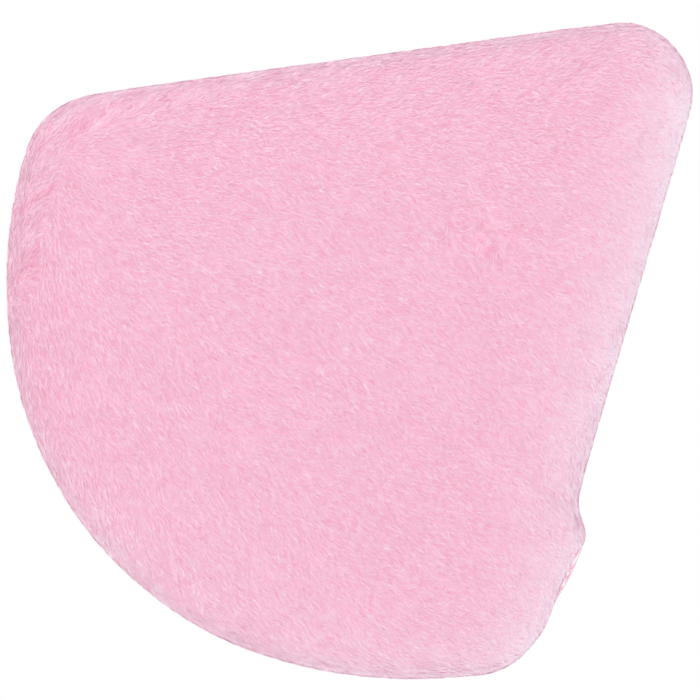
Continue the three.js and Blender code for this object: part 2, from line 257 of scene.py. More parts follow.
class Edge:
    """Evenly spaced points round the pad, from the tip down the -X side and back up the +X side."""

    def __init__(self, count):
        side_start = TIP_RADIUS * TIP_TURN
        corner_end = side_start + SIDE_LENGTH + CORNER_RADIUS * CORNER_TURN
        flank_end = corner_end + FLANK_RADIUS * FLANK_TURN
        corner_middle = corner_end - CORNER_RADIUS * CORNER_TURN / 2

        def swell(amount, middle, spread):
            return amount * np.exp(-(((WALKED - middle) / spread) ** 2))

        tip = swell(TIP_SLACK, 0, TIP_SPREAD)
        out = bulge(WALKED - side_start)
        out += swell(CORNER_FULLNESS, corner_middle, CORNER_SPREAD)
        out += swell(END_FULLNESS, flank_end + END_AFTER_FLANK, END_SPREAD)
        soft = np.hanning(round(EDGE_SOFTENING / WALK_STEP))
        out = np.convolve(out, soft / soft.sum(), mode="same") - tip
        other = -tip - swell(OTHER_CORNER_SLACK, corner_middle - OTHER_CORNER_AHEAD, CORNER_SPREAD)
        normal = np.stack([-np.cos(HEADING), np.sin(HEADING)], axis=1)
        base = np.stack([-WIDE, TIP_Y - BACK], axis=1)
        mirror = np.array([-1, 1])
        left = base + normal * out[:, None]
        right = (base + normal * other[:, None]) * mirror
        points = np.concatenate([left, right[::-1]])
        normals = np.concatenate([normal, (normal * mirror)[::-1]])
        bases = np.concatenate([base, (base * mirror)[::-1]])
        steps = np.linalg.norm(np.diff(points, axis=0, append=points[:1]), axis=1)
        place = np.concatenate([[0], np.cumsum(steps)])
        wanted = np.linspace(0, place[-1], count, endpoint=False)

        def even(values):
            closed = np.concatenate([values, values[:1]])
            return np.stack([np.interp(wanted, place, column) for column in closed.T], axis=1)

        self.points = even(points)
        self.normals = unit(even(normals))
        self.depth = ((even(bases) - [0, CENTRE_Y]) * self.normals).sum(axis=1)

    def ring(self, height, inset, share=1):
        """The edge drawn in by a distance, or scaled towards the middle by a share, at a height."""
        scale = ((1 - inset / self.depth) * share)[:, None]
        flat = (self.points - [0, CENTRE_Y]) * scale + [0, CENTRE_Y]
        return np.column_stack([flat, np.full(len(flat), SEAM_Z + height)])

    def nearest(self, flat):
        """For flat points inside the edge: distance to the edge, and the edge's outward normal there."""
        distance = np.empty(len(flat))
        found = np.empty(len(flat), int)
        for start in range(0, len(flat), PLACES_AT_ONCE):
            batch = slice(start, start + PLACES_AT_ONCE)
            gaps = np.linalg.norm(flat[batch, None] - self.points[None], axis=2)
            found[batch] = gaps.argmin(axis=1)
            distance[batch] = gaps.min(axis=1)
        return distance, self.normals[found]

    def half_width(self, y, side):
        """The edge's distance from the middle line at a place along Y, on one side."""
        half = self.points[self.points[:, 0] * side > 0]
        order = np.argsort(half[:, 1])
        return abs(np.interp(y, half[order, 1], half[order, 0]))


EDGE = Edge(EDGE_POINTS)


# Mesh tools

def add_object(name, data):
    """A new object in the scene."""
    item = bpy.data.objects.new(name, data)
    bpy.context.scene.collection.objects.link(item)
    return item


def new_mesh(name, points, faces, smooth=True):
    """A mesh object from points and faces."""
    mesh = bpy.data.meshes.new(name)
    mesh.from_pydata(np.asarray(points).tolist(), [], faces)
    mesh.validate()
    if smooth:
        mesh.shade_smooth()
    return add_object(name, mesh)


def vertex_vectors(mesh, name, kind=np.float64):
    """One vector for each vertex of a mesh: its place or its normal."""
    vectors = np.empty(len(mesh.vertices) * 3, kind)
    mesh.vertices.foreach_get(name, vectors)
    return vectors.reshape(-1, 3)


def ring_faces(rings, count):
    """Faces of a surface from one middle point through rings to another, which is the last point."""
    last = 1 + rings * count
    faces = [(0, 1 + i, 1 + (i + 1) % count) for i in range(count)]
    for r in range(rings - 1):
        low = 1 + r * count
        for i in range(count):
            j = (i + 1) % count
            faces.append((low + i, low + count + i, low + count + j, low + j))
    edge = 1 + (rings - 1) * count
    faces += [(edge + (i + 1) % count, edge + i, last) for i in range(count)]
    return faces


def facing_out(faces, sign):
    """Faces of a cover, turned over for the cover below the seam."""
    return faces if sign > 0 else [face[::-1] for face in faces]


def roll(sign, first_inset, lip, rim, width, steps, start=None):
    """Rings of a rolled edge, from near the lip of the seam groove up to where the crown starts."""
    first = 0 if start is None else math.asin(((start - lip) / (rim - lip)) ** (ROLL_POWER / 2))
    rings = []
    for angle in np.linspace(first, math.pi / 2, steps + 1):
        inset = first_inset + width * (1 - max(math.cos(angle), 0) ** (2 / ROLL_POWER))
        height = lip + (rim - lip) * math.sin(angle) ** (2 / ROLL_POWER)
        rings.append(EDGE.ring(sign * height, inset))
    return rings


def crown(sign, total, rise, inset, steps):
    """Rings of a crowned surface, from near its middle out to the rolled edge."""
    shares = np.linspace(0, 1, steps + 1)[1:-1]
    return [EDGE.ring(sign * (total - rise * share**2), inset, share) for share in shares]


# Shader tools

def srgb(red, green, blue):
    """A colour written as 0 to 255 on the screen, as the linear values that a shader takes."""
    shares = [value / 255 for value in (red, green, blue)]
    return tuple(s / 12.92 if s <= 0.04045 else ((s + 0.055) / 1.055) ** 2.4 for s in shares) + (1,)


def fill(tree, node, inputs):
    """Sets a node's inputs to values, or links them to the outputs of other nodes."""
    for name, value in inputs.items():
        if isinstance(value, bpy.types.NodeSocket):
            tree.links.new(value, node.inputs[name])
        else:
            node.inputs[name].default_value = value


def add_node(tree, kind, inputs=None, **settings):
    """A new shader node with its settings and inputs."""
    node = tree.nodes.new("ShaderNode" + kind)
    for name, value in settings.items():
        setattr(node, name, value)
    fill(tree, node, inputs or {})
    return node


def new_material(name, inputs):
    """A new material with its nodes and its shader, whose inputs are set."""
    material = bpy.data.materials.new(name)
    material.use_nodes = True
    tree = material.node_tree
    shader = tree.nodes["Principled BSDF"]
    fill(tree, shader, inputs)
    return material, tree, shader


def object_place(tree):
    """The place on the object that a material's patterns follow."""
    return add_node(tree, "TexCoord").outputs["Object"]


def two_tone(tree, value, low, high, start, end):
    """A colour that goes from low to high as a value goes from start to end."""
    ramp = add_node(tree, "ValToRGB", {"Fac": value})
    first, last = ramp.color_ramp.elements
    first.position = start
    first.color = srgb(*low)
    last.position = end
    last.color = srgb(*high)
    return ramp.outputs["Color"]


def bumps(tree, value, depth):
    """The surface normal where a value from 0 to 1 is the height, as a share of a depth."""
    return add_node(tree, "Bump", {"Height": value, "Distance": depth}).outputs["Normal"]


BAND_AT_SCALE_1 = math.pi / 10


def bands(tree, place, axis, pitch, distortion):
    """Even bands across one axis: their value from 0 to 1."""
    inputs = {"Vector": place, "Scale": BAND_AT_SCALE_1 / pitch, "Distortion": distortion}
    return add_node(tree, "TexWave", inputs, bands_direction=axis).outputs["Fac"]


def patches(tree, place, sizes, detail):
    """Soft patches with sizes of their own along X, Y and Z: their value from 0 to 1."""
    scale = [1 / size for size in sizes]
    stretched = add_node(tree, "Mapping", {"Vector": place, "Scale": scale}).outputs["Vector"]
    return add_node(tree, "TexNoise", {"Vector": stretched, "Scale": 1, "Detail": detail}).outputs["Fac"]


# Materials

TONES = 14
DEEP = np.array([240, 154, 189])
MEDIUM = np.array([249, 203, 223])
# The palest tones carry the painted sheen at the edge, the rim and the tip
PALE = np.array([252, 236, 247])
PILE_SHEEN = (250, 222, 238)

KNIT_SCALE = 900
KNIT_DEPTH = 0.1 * MM
KNIT_TONES = [(245, 184, 210), (250, 200, 221)]

RIB_PITCH = 0.3 * MM
RIB_DEPTH = 0.03 * MM
# Painted sheen on the satin: long soft patches of paler colour, and their share of the weave's colour
PAINTED_GLEAM_SIZES = (5 * MM, 25 * MM, 5 * MM)
PAINTED_GLEAM_SHARE = 0.65
SATIN_TONES = [(228, 144, 180), (247, 188, 211)]
# Painted glints: pale highlight spots on the satin just above the seam
GLINT_SIZES = (0.5 * MM, 1.1 * MM, 0.5 * MM)
GLINTS_END = SEAM_Z + 0.8 * MM
GLINTS_START = SEAM_Z + 0.55 * MM
PAINTED_GLINT = (252, 238, 245)

FOAM_CELL = 0.7 * MM
FOAM_CELL_DEPTH = 0.2 * MM
FOAM_TONES = [(222, 206, 180), (247, 238, 222)]

THREAD_TWIST = 0.2 * MM
THREAD_TWIST_DEPTH = 0.04 * MM
CLOSING_TONES = [(240, 168, 196), (250, 196, 216)]
OVERLOCK_TONES = [(236, 219, 228), (248, 238, 243)]
TACK_TONES = [(236, 166, 194), (248, 192, 212)]


def pile_material(name, share):
    """One shade of pile, from deep pink at share 0 to pale at share 1."""
    if share < 0.5:
        colour = DEEP + (MEDIUM - DEEP) * share * 2
    else:
        colour = MEDIUM + (PALE - MEDIUM) * (share * 2 - 1)
    inputs = {
        "Base Color": srgb(*colour),
        "Roughness": 0.75,
        "Specular IOR Level": 0.25,
        "Sheen Weight": 0.85,
        "Sheen Roughness": 0.36,
        "Sheen Tint": srgb(*PILE_SHEEN),
    }
    return new_material(name, inputs)[0]


def backing_material():
    """The knit that the pile stands on."""
    material, tree, shader = new_material("knitted_backing", {"Roughness": 0.9})
    inputs = {"Vector": object_place(tree), "Scale": KNIT_SCALE, "Detail": 4}
    grain = add_node(tree, "TexNoise", inputs).outputs["Fac"]
    colour = two_tone(tree, grain, *KNIT_TONES, start=0.3, end=0.7)
    fill(tree, shader, {"Base Color": colour, "Normal": bumps(tree, grain, KNIT_DEPTH)})
    return material


def satin_material():
    """Satin with fine ribs and long painted gleams of sheen, and painted pale glints low down, where it
    comes out of the seam.
    """
    inputs = {"Roughness": 0.32, "Sheen Weight": 0.15, "Specular IOR Level": 0.6}
    material, tree, shader = new_material("satin_weave", inputs)
    place = object_place(tree)
    ribs = bands(tree, place, "Y", RIB_PITCH, distortion=0.8)
    # Painted gleam: long paler patches stand in for the satin's sheen
    gleam = patches(tree, place, PAINTED_GLEAM_SIZES, detail=1)
    both = add_node(tree, "Mix", {"Factor": PAINTED_GLEAM_SHARE, "A": ribs, "B": gleam}).outputs["Result"]
    weave = two_tone(tree, both, *SATIN_TONES, start=0.2, end=0.75)
    height = add_node(tree, "SeparateXYZ", {"Vector": place}).outputs["Z"]
    inputs = {"Value": height, "From Min": GLINTS_END, "From Max": GLINTS_START}
    low = add_node(tree, "MapRange", inputs).outputs["Result"]
    # Painted glints: pale highlight spots, only low down by the seam
    glints = patches(tree, place, GLINT_SIZES, detail=2)
    inputs = {"Value": glints, "From Min": 0.42, "From Max": 0.55}
    spots = add_node(tree, "MapRange", inputs).outputs["Result"]
    amount = add_node(tree, "Math", {0: low, 1: spots}, operation="MULTIPLY").outputs[0]
    inputs = {"Factor": amount, "A": weave, "B": srgb(*PAINTED_GLINT)}
    colour = add_node(tree, "Mix", inputs, data_type="RGBA").outputs["Result"]
    fill(tree, shader, {"Base Color": colour, "Normal": bumps(tree, ribs, RIB_DEPTH)})
    return material


def foam_material():
    """Open foam cells."""
    material, tree, shader = new_material("foam_cells", {"Roughness": 0.95})
    inputs = {"Vector": object_place(tree), "Scale": 1 / FOAM_CELL}
    cells = add_node(tree, "TexVoronoi", inputs).outputs["Distance"]
    colour = two_tone(tree, cells, *FOAM_TONES, start=0.1, end=0.6)
    fill(tree, shader, {"Base Color": colour, "Normal": bumps(tree, cells, FOAM_CELL_DEPTH)})
    return material


def thread_material(name, tones):
    """Spun thread."""
    material, tree, shader = new_material(name, {"Roughness": 0.55})
    twist = bands(tree, object_place(tree), "DIAGONAL", THREAD_TWIST, distortion=1)
    colour = two_tone(tree, twist, *tones, start=0.2, end=0.8)
    fill(tree, shader, {"Base Color": colour, "Normal": bumps(tree, twist, THREAD_TWIST_DEPTH)})
    return material


# Covers: a knitted backing, and pile of this height on it up to the cover's surface
PILE_HEIGHT = 0.19 * MM
RIM_PILE_HEIGHT = 0.14 * MM
SIDES = {
    "front": {
        "sign": -1,
        "total": FACE_DEPTH,
        "crown": FACE_CROWN,
        "tuck": 0,
        "slot": "face_velour",
        "seed": 10,
    },
    "back": {
        "sign": 1,
        "total": BACK_HEIGHT,
        "crown": BACK_CROWN,
        "tuck": BACK_TUCK,
        "slot": "back_velour",
        "seed": 20,
    },
}

# Cloth simulation: each cover is blown up from a slightly smaller shape, enlarged to suit the solver
SWELL_ROOM = 0.35 * MM
MOST_SWELL = 0.5 * MM
SIM_SCALE = 20
SIM_TURN_STEP = 7
SIM_RING_STEP = 3
SIM_FRAMES = 20
PRESSURE = 4


def spread(values, coarse, fine, period=None):
    """Values given at coarse places along the first axis, interpolated to the fine ones."""
    columns = values.reshape(len(values), -1).T
    filled = [np.interp(fine, coarse, column, period=period) for column in columns]
    return np.stack(filled, axis=1).reshape(len(fine), *values.shape[1:])


def inflate(sign, middle, rings):
    """How far a cover's middle and rings move when pressure blows it up, held at its seam."""
    rows = np.stack(rings)
    picked = sorted({*range(0, len(rings), SIM_RING_STEP), len(rings) - 1})
    count = rows.shape[1] // SIM_TURN_STEP
    coarse = rows[picked][:, ::SIM_TURN_STEP]
    points = np.concatenate([[middle], coarse.reshape(-1, 3)])
    faces = ring_faces(len(picked), count)[:-count]
    cloth = new_mesh("swelling", points * SIM_SCALE, facing_out(faces, sign))
    held = range(1 + (len(picked) - 2) * count, len(points))
    cloth.vertex_groups.new(name="seam").add(held, 1, "REPLACE")
    settings = cloth.modifiers.new("swelling", "CLOTH").settings
    settings.vertex_group_mass = "seam"
    settings.use_pressure = True
    settings.uniform_pressure_force = PRESSURE
    settings.effector_weights.gravity = 0
    for step in range(1, SIM_FRAMES + 1):
        bpy.context.scene.frame_set(step)
    swollen = cloth.evaluated_get(bpy.context.evaluated_depsgraph_get()).data
    moved = vertex_vectors(swollen, "co", np.float32) / SIM_SCALE - points
    distance = np.linalg.norm(moved, axis=1)
    moved *= np.minimum(1, MOST_SWELL / np.maximum(distance, TINY))[:, None]
    bpy.context.scene.frame_set(1)
    bpy.data.objects.remove(cloth)
    grid = moved[1:].reshape(len(picked), count, 3)
    grid = spread(grid, picked, np.arange(len(rings)))
    turns = np.arange(rows.shape[1])
    grid = spread(grid.swapaxes(0, 1), turns[::SIM_TURN_STEP], turns, period=len(turns)).swapaxes(0, 1)
    return moved[0], grid


def make_skin(name, side):
    """The knitted backing of one cover: crown, rolled edge, allowance turned in, and the inside."""
    sign, total, rise = side["sign"], side["total"], side["crown"]
    rim = total - rise
    edge = RIM_PILE_HEIGHT + side["tuck"]
    outer_top = total - PILE_HEIGHT - SWELL_ROOM
    lip = LIP_HEIGHT - CLEARANCE
    rings = crown(sign, outer_top, rise, ROLL_WIDTH, CROWN_STEPS)
    rings += roll(sign, edge, lip, rim - PILE_HEIGHT - SWELL_ROOM, ROLL_WIDTH - edge, ROLL_STEPS)[::-1]
    rings.insert(-1, EDGE.ring(sign * (lip + LIP_ROUND), edge))
    rings.append(EDGE.ring(sign * (lip - LIP_ROUND), edge + LIP_ROUND))
    rings.append(EDGE.ring(sign * SEAM_GAP / 2, GROOVE_DEPTH + RIM_PILE_HEIGHT))
    outer_rings = len(rings)
    middle = np.array([0, CENTRE_Y, SEAM_Z + sign * outer_top])
    middle_moved, moved = inflate(sign, middle, rings)
    middle += middle_moved
    rings = [ring + move for ring, move in zip(rings, moved)]
    for ring in [middle, *rings]:
        ring[..., 2] = np.maximum(ring[..., 2], PILE_HEIGHT)
    rings.append(EDGE.ring(sign * SEAM_GAP / 2, ALLOWANCE_END))
    rings.append(EDGE.ring(sign * ALLOWANCE_TOP, ALLOWANCE_END))
    rings += roll(sign, WALL, ALLOWANCE_TOP, rim - WALL, ROLL_WIDTH - WALL, INNER_ROLL_STEPS)
    rings += crown(sign, total - WALL, rise, ROLL_WIDTH, INNER_CROWN_STEPS)[::-1]
    inner = [[0, CENTRE_Y, SEAM_Z + sign * (total - WALL)]]
    faces = facing_out(ring_faces(len(rings), EDGE_POINTS), sign)
    skin = new_mesh(name, np.concatenate([[middle], *rings, inner]), faces)
    return skin, EDGE_POINTS * outer_rings


def sample_skin(skin, outer_faces, count, random):
    """Random places on the outside of a skin, spread evenly by area, with the surface normal there."""
    mesh = skin.data
    points = vertex_vectors(mesh, "co")
    normals = vertex_vectors(mesh, "normal")
    corners = []
    for polygon in mesh.polygons[:outer_faces]:
        v = polygon.vertices
        corners += [(v[0], v[i], v[i + 1]) for i in range(1, len(v) - 1)]
    corners = np.array(corners)
    a, b, c = (points[corners[:, i]] for i in range(3))
    area = np.linalg.norm(np.cross(b - a, c - a), axis=1)
    chosen = np.searchsorted(np.cumsum(area) / area.sum(), random.random(count))
    one, two = random.random((2, count))
    flip = one + two > 1
    one[flip], two[flip] = 1 - one[flip], 1 - two[flip]
    weights = np.stack([1 - one - two, one, two], axis=1)
    triangle = corners[np.minimum(chosen, len(corners) - 1)]
    place = (points[triangle] * weights[..., None]).sum(axis=1)
    normal = (normals[triangle] * weights[..., None]).sum(axis=1)
    return place, unit(normal)


def on_skin(skin, points):
    """The nearest place on a skin to each point, and the skin's normal there."""
    tree = BVHTree.FromObject(skin, bpy.context.evaluated_depsgraph_get())
    found = [tree.find_nearest(point) for point in points.tolist()]
    return np.array([hit[0] for hit in found]), np.array([hit[1] for hit in found])


# Where the pile of each side leans: a common direction, and a place that it fans out from
LEAN = {
    "front": {"way": (-0.98, 0.2), "source": (44.6 * MM, -23.6 * MM)},
    "back": {"way": (0.25, -0.97), "source": (-6 * MM, 46 * MM)},
}

# Near the edge the pile is combed along it
COMB = 1.2
COMB_WIDTH = 5 * MM

# The lean wanders: an angle, the width of the patches that it is alike in, and a seed
LEAN_WANDER = [(0.2, 9 * MM, 11), (0.16, 1.6 * MM, 12), (0.3, 0.7 * MM, 13)]
LEAN_SCATTER = 0.3

# A swirl in the powdering face, where the pile is shorter and turns every way
SWIRL = np.array([-1.8, 11.1]) * MM
SWIRL_SIZE = 2.6 * MM
SWIRL_TURN = 1.5
SWIRL_PATCH = 1.4 * MM
SWIRL_SEED = 15
SWIRL_SHORTENS = 0.35
SWIRL_CONTRAST = 0.2
SWIRL_CONTRAST_PATCH = 0.45 * MM
SWIRL_CONTRAST_SEED = 17

# Round the +X corner and up the +X side the pile parts along a wandering crest, with locks beyond it
CREST = 4.1 * MM
CREST_WANDER = 0.9 * MM
CREST_PATCH = 3 * MM
CREST_SEED = 14
CREST_WIDTH = 0.9 * MM
CREST_WAY = np.array([0.02, 1])
CREST_REACH = 26 * MM
CREST_FADE = 9 * MM
CREST_NARROWS_FROM = 15 * MM
CREST_NARROWS_OVER = 10 * MM
CREST_NARROWING = 0.4
ON_SIDE = 0.98
SIDE_CREST_SHARE = 0.85
SIDE_CREST_REACH = 54 * MM
SIDE_CREST_FADE = 26 * MM
LOCK_LENGTH = 3.5 * MM
LOCK_WIDTH = 0.6 * MM
LOCK_SEED = 16
# The locks are painted darker in streaks: painted shade in the gaps between them
LOCK_PAINTED_SHADE = 0.03
LOCK_CONTRAST = 0.17
LOCK_MOST_PALER = 0.03
LOCKS_LENGTHEN = 0.2
LOCKS_HIDE_SHEEN = 0.85

# Painted sheen: how much paler the pile is painted where it leans out over the edge, at the rim and near the
# tip
PAINTED_EDGE_SHEEN = {"front": 0.37, "back": 0.06}
EDGE_SHEEN_WIDTH = 5.4 * MM
EDGE_SHEEN_POWER = 1.5
PAINTED_RIM_SHEEN = 0.3
RIM_SHEEN_WIDTH = 0.9 * MM
PAINTED_TIP_SHEEN = {"front": 0.1, "back": 0}
TIP_SHEEN_WIDTH = 8 * MM

# The painted sheen fades where the surface turns on its edge, and evens out the strands' tones
FACING_SLOPE = 3
FACING_DROP = 0.45
SHEEN_EVENS = 0.6

# Tones vary in blotches: an amount, their width, and what is added to the layer's seed
BLOTCHES = [(0.02, 5 * MM, 2), (0.012, 1.2 * MM, 3)]
GRAIN = 0.05
GRAIN_PATCH = 0.4 * MM
GRAIN_SEED = 18
TONE_SCATTER = 0.13

# Layers of pile, each with its strands' number, length, width, share of the height and middle tone
LAYERS = {
    "undercoat": {
        "count": 190000,
        "run": 0.7 * MM,
        "width": 0.12 * MM,
        "rise": 0.78,
        "bent": False,
        "tone": 0.44,
        "seed": 100,
    },
    "pile": {
        "count": 62000,
        "run": 0.85 * MM,
        "width": 0.09 * MM,
        "rise": 1,
        "bent": True,
        "tone": 0.52,
        "seed": 200,
    },
}
RUN_WANDER = 0.2
RUN_PATCH = 1.5 * MM
RUN_SCATTER = 0.3
WIDTH_SCATTER = 0.3
TWIST_SCATTER = 0.14
LEAST_RISE = 0.88
LOWEST = 0.02 * MM

# A bent strand's middle: its place along the strand, height and width, and the shades on both sides
BEND_PLACE = 0.4
BEND_RISE = 0.62
BEND_WIDTH = 0.85
# The root part is painted darker, a painted shade by the backing, and the tip part paler, a painted sheen
ROOT_PAINTED_SHADE = 0.04
TIP_PAINTED_SHEEN = 0.03

Lean = namedtuple("Lean", "way swirl locks distance outward")


def past_crest(flat, distance, outward):
    """How far places on the powdering face are past the crest, in the locks, from 0 to 1."""
    from_corner = np.linalg.norm(flat - LEAN["front"]["source"], axis=1)
    narrower = CREST_NARROWING * np.clip((from_corner - CREST_NARROWS_FROM) / CREST_NARROWS_OVER, 0, 1)
    wander = CREST * (1 - narrower) + CREST_WANDER * noise(flat, CREST_PATCH, CREST_SEED)
    near_corner = np.clip((CREST_REACH - from_corner) / CREST_FADE, 0, 1)
    on_side = outward @ SIDE_OUTWARD > ON_SIDE
    beside = SIDE_CREST_SHARE * on_side * np.clip((SIDE_CREST_REACH - from_corner) / SIDE_CREST_FADE, 0, 1)
    beyond = np.clip((wander - distance) / CREST_WIDTH + 0.5, 0, 1)
    return beyond * np.maximum(near_corner, beside)


def lean(flat, key, random):
    """How the pile of one side leans at flat places.

    That is its flat direction, how far it is in the swirl and in the locks, its distance from the
    edge, and the edge's outward normal.
    """
    direction = unit(unit(flat - LEAN[key]["source"]) + LEAN[key]["way"])
    distance, outward = EDGE.nearest(flat)
    tangent = quarter_turned(outward)
    along = (tangent * direction).sum(axis=1) * np.exp(-distance / COMB_WIDTH)
    direction = unit(direction + COMB * along[:, None] * tangent)
    swirl, locks = np.zeros((2, len(flat)))
    if key == "front":
        swirl = np.exp(-((flat - SWIRL) ** 2).sum(axis=1) / (2 * SWIRL_SIZE**2))
        locks = past_crest(flat, distance, outward)
    direction = unit(direction * (1 - locks)[:, None] + CREST_WAY * locks[:, None])
    angle = sum(amount * noise(flat, patch, seed) for amount, patch, seed in LEAN_WANDER)
    scatter = random.normal(0, LEAN_SCATTER, len(flat))
    angle += scatter + SWIRL_TURN * swirl * noise(flat, SWIRL_PATCH, SWIRL_SEED)
    return Lean(turned(direction, angle), swirl, locks, distance, outward)


def pile_tones(flat, normal, laid, key, layer, seed, random):
    """The tone of each strand, from 0, deep pink, to 1, pale, with painted sheen and painted shade in it."""
    over_edge = (unit(laid.way) * laid.outward).sum(axis=1)
    near_edge = np.exp(-((laid.distance / EDGE_SHEEN_WIDTH) ** EDGE_SHEEN_POWER))
    near_tip = np.exp(-(((TIP_Y - flat[:, 1]) / TIP_SHEEN_WIDTH) ** 2))
    facing = np.clip(FACING_SLOPE * np.abs(normal[:, 2]) - FACING_DROP, 0, 1)
    # Painted sheen: the strand's tone is painted paler where the pile leans out over the edge
    pale = near_edge * np.maximum(over_edge, 0) * (1 - LOCKS_HIDE_SHEEN * laid.locks) * facing
    tone = sum(amount * noise(flat, patch, seed + extra) for amount, patch, extra in BLOTCHES)
    tone += GRAIN * noise(flat, GRAIN_PATCH, GRAIN_SEED) + random.normal(0, TONE_SCATTER, len(flat))
    tone = layer["tone"] + tone * (1 - SHEEN_EVENS * pale)
    # Painted sheen at the edge, the tip and the rim
    tone += PAINTED_EDGE_SHEEN[key] * pale + PAINTED_TIP_SHEEN[key] * near_tip * facing
    tone += PAINTED_RIM_SHEEN * np.exp(-laid.distance / RIM_SHEEN_WIDTH) * facing
    tone -= SWIRL_CONTRAST * noise(flat, SWIRL_CONTRAST_PATCH, SWIRL_CONTRAST_SEED) * laid.swirl
    # Painted shade: darker streaks in the locks, where the gaps between them lie in shade
    streaks = noise(flat / [LOCK_WIDTH, LOCK_LENGTH], 1, LOCK_SEED)
    return tone - np.maximum(LOCK_PAINTED_SHADE + LOCK_CONTRAST * streaks, -LOCK_MOST_PALER) * laid.locks


def strand_mesh(name, corners, pattern, tones, materials):
    """Strands as one mesh. A pattern is one strand's faces, and each face has a tone of its own."""
    count, width = corners.shape[:2]
    loops = np.concatenate(pattern)
    starts = np.cumsum([0] + [len(face) for face in pattern[:-1]])
    strand = np.arange(count)[:, None]
    mesh = bpy.data.meshes.new(name)
    mesh.vertices.add(count * width)
    mesh.vertices.foreach_set("co", corners.ravel())
    mesh.loops.add(count * len(loops))
    mesh.loops.foreach_set("vertex_index", (strand * width + loops).ravel())
    mesh.polygons.add(count * len(pattern))
    mesh.polygons.foreach_set("loop_start", (strand * len(loops) + starts).ravel())
    shades = np.clip(np.round(tones * (TONES - 1)), 0, TONES - 1).astype(np.int32)
    mesh.polygons.foreach_set("material_index", shades.ravel())
    for material in materials:
        mesh.materials.append(material)
    mesh.update(calc_edges=True)
    mesh.validate()
    mesh.shade_smooth()
    return add_object(name, mesh)


def grow_pile(name, skin, outer_faces, key, layer, materials, seed):
    """Tapered strands all over the outside of a skin, sheared to one height, each with its own tone."""
    random = np.random.default_rng(seed)
    count = layer["count"]
    place, normal = sample_skin(skin, outer_faces, count, random)
    flat = place[:, :2]
    laid = lean(flat, key, random)
    way = np.column_stack([laid.way, np.zeros(count)])
    way = unit(way - (way * normal).sum(axis=1)[:, None] * normal)
    longer = 1 + RUN_WANDER * noise(flat, RUN_PATCH, seed + 1)
    longer += random.uniform(-RUN_SCATTER, RUN_SCATTER, count)
    longer -= SWIRL_SHORTENS * laid.swirl
    longer += LOCKS_LENGTHEN * laid.locks
    run = layer["run"] * longer
    stand = layer["rise"] * random.uniform(LEAST_RISE, 1, count)

    def at(share, lift):
        there, up = on_skin(skin, place + way * (run * share)[:, None])
        height = RIM_PILE_HEIGHT + (PILE_HEIGHT - RIM_PILE_HEIGHT) * up[:, 2] ** 2
        points = there + up * (height * stand * lift)[:, None]
        points[:, 2] = np.maximum(points[:, 2], LOWEST)
        return points

    across = unit(np.cross(way, normal))
    twist = random.normal(0, TWIST_SCATTER, count)[:, None]
    across = unit(across * np.cos(twist) + normal * np.sin(twist))
    wider = random.uniform(1 - WIDTH_SCATTER, 1 + WIDTH_SCATTER, count)
    half = across * (layer["width"] / 2 * wider)[:, None]
    tones = pile_tones(flat, normal, laid, key, layer, seed, random)
    tip = at(1, 1)
    if layer["bent"]:
        bend = at(BEND_PLACE, BEND_RISE)
        parts = [place - half, place + half, bend + half * BEND_WIDTH, bend - half * BEND_WIDTH, tip]
        pattern = [(0, 1, 2, 3), (3, 2, 4)]
        # Painted shade on the root part and painted sheen on the tip part
        tones = np.stack([tones - ROOT_PAINTED_SHADE, tones + TIP_PAINTED_SHEEN], axis=1)
    else:
        parts = [place - half, place + half, tip]
        pattern = [(0, 1, 2)]
    return strand_mesh(name, np.stack(parts, axis=1), pattern, tones, materials)


def make_covers():
    shades = [pile_material(f"pile_shade_{i + 1}", i / (TONES - 1)) for i in range(TONES)]
    backing = backing_material()
    for key, side in SIDES.items():
        skin, outer_faces = make_skin(f"{key}_velour", side)
        skin.data.materials.append(backing)
        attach(skin, "root")
        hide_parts(f"{key}_velour_cover")
        for layer, sizes in LAYERS.items():
            seed = side["seed"] + sizes["seed"]
            pile = grow_pile(f"{key}_{layer}", skin, outer_faces, key, sizes, shades, seed)
            pile.parent = skin


# Foam filling, pressed in round the seam allowance

def make_foam():
    drop = WALL + CLEARANCE
    lip = ALLOWANCE_TOP - CLEARANCE
    groove = ALLOWANCE_TOP + 2 * CLEARANCE + 2 * OVERLOCK_RADIUS
    groove_end = ALLOWANCE_END + 2 * CLEARANCE + 2 * OVERLOCK_RADIUS
    halves = []
    for side in (SIDES["back"], SIDES["front"]):
        sign, total, rise = side["sign"], side["total"], side["crown"]
        rings = crown(sign, total - drop, rise, ROLL_WIDTH + CLEARANCE, INNER_CROWN_STEPS)
        rim = total - rise - drop
        rings += roll(sign, drop, lip, rim, ROLL_WIDTH - WALL, INNER_ROLL_STEPS, start=groove)[::-1]
        rings.append(EDGE.ring(sign * groove, groove_end))
        halves.append(rings)
    rings = halves[0] + halves[1][::-1]
    top = [[0, CENTRE_Y, SEAM_Z + BACK_HEIGHT - drop]]
    bottom = [[0, CENTRE_Y, SEAM_Z + drop - FACE_DEPTH]]
    points = np.concatenate([top, *rings, bottom])
    foam = new_mesh("foam_filling", points, ring_faces(len(rings), EDGE_POINTS))
    foam.data.materials.append(foam_material())
    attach(foam, "root")
    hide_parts("foam_core")


# Ribbon strap

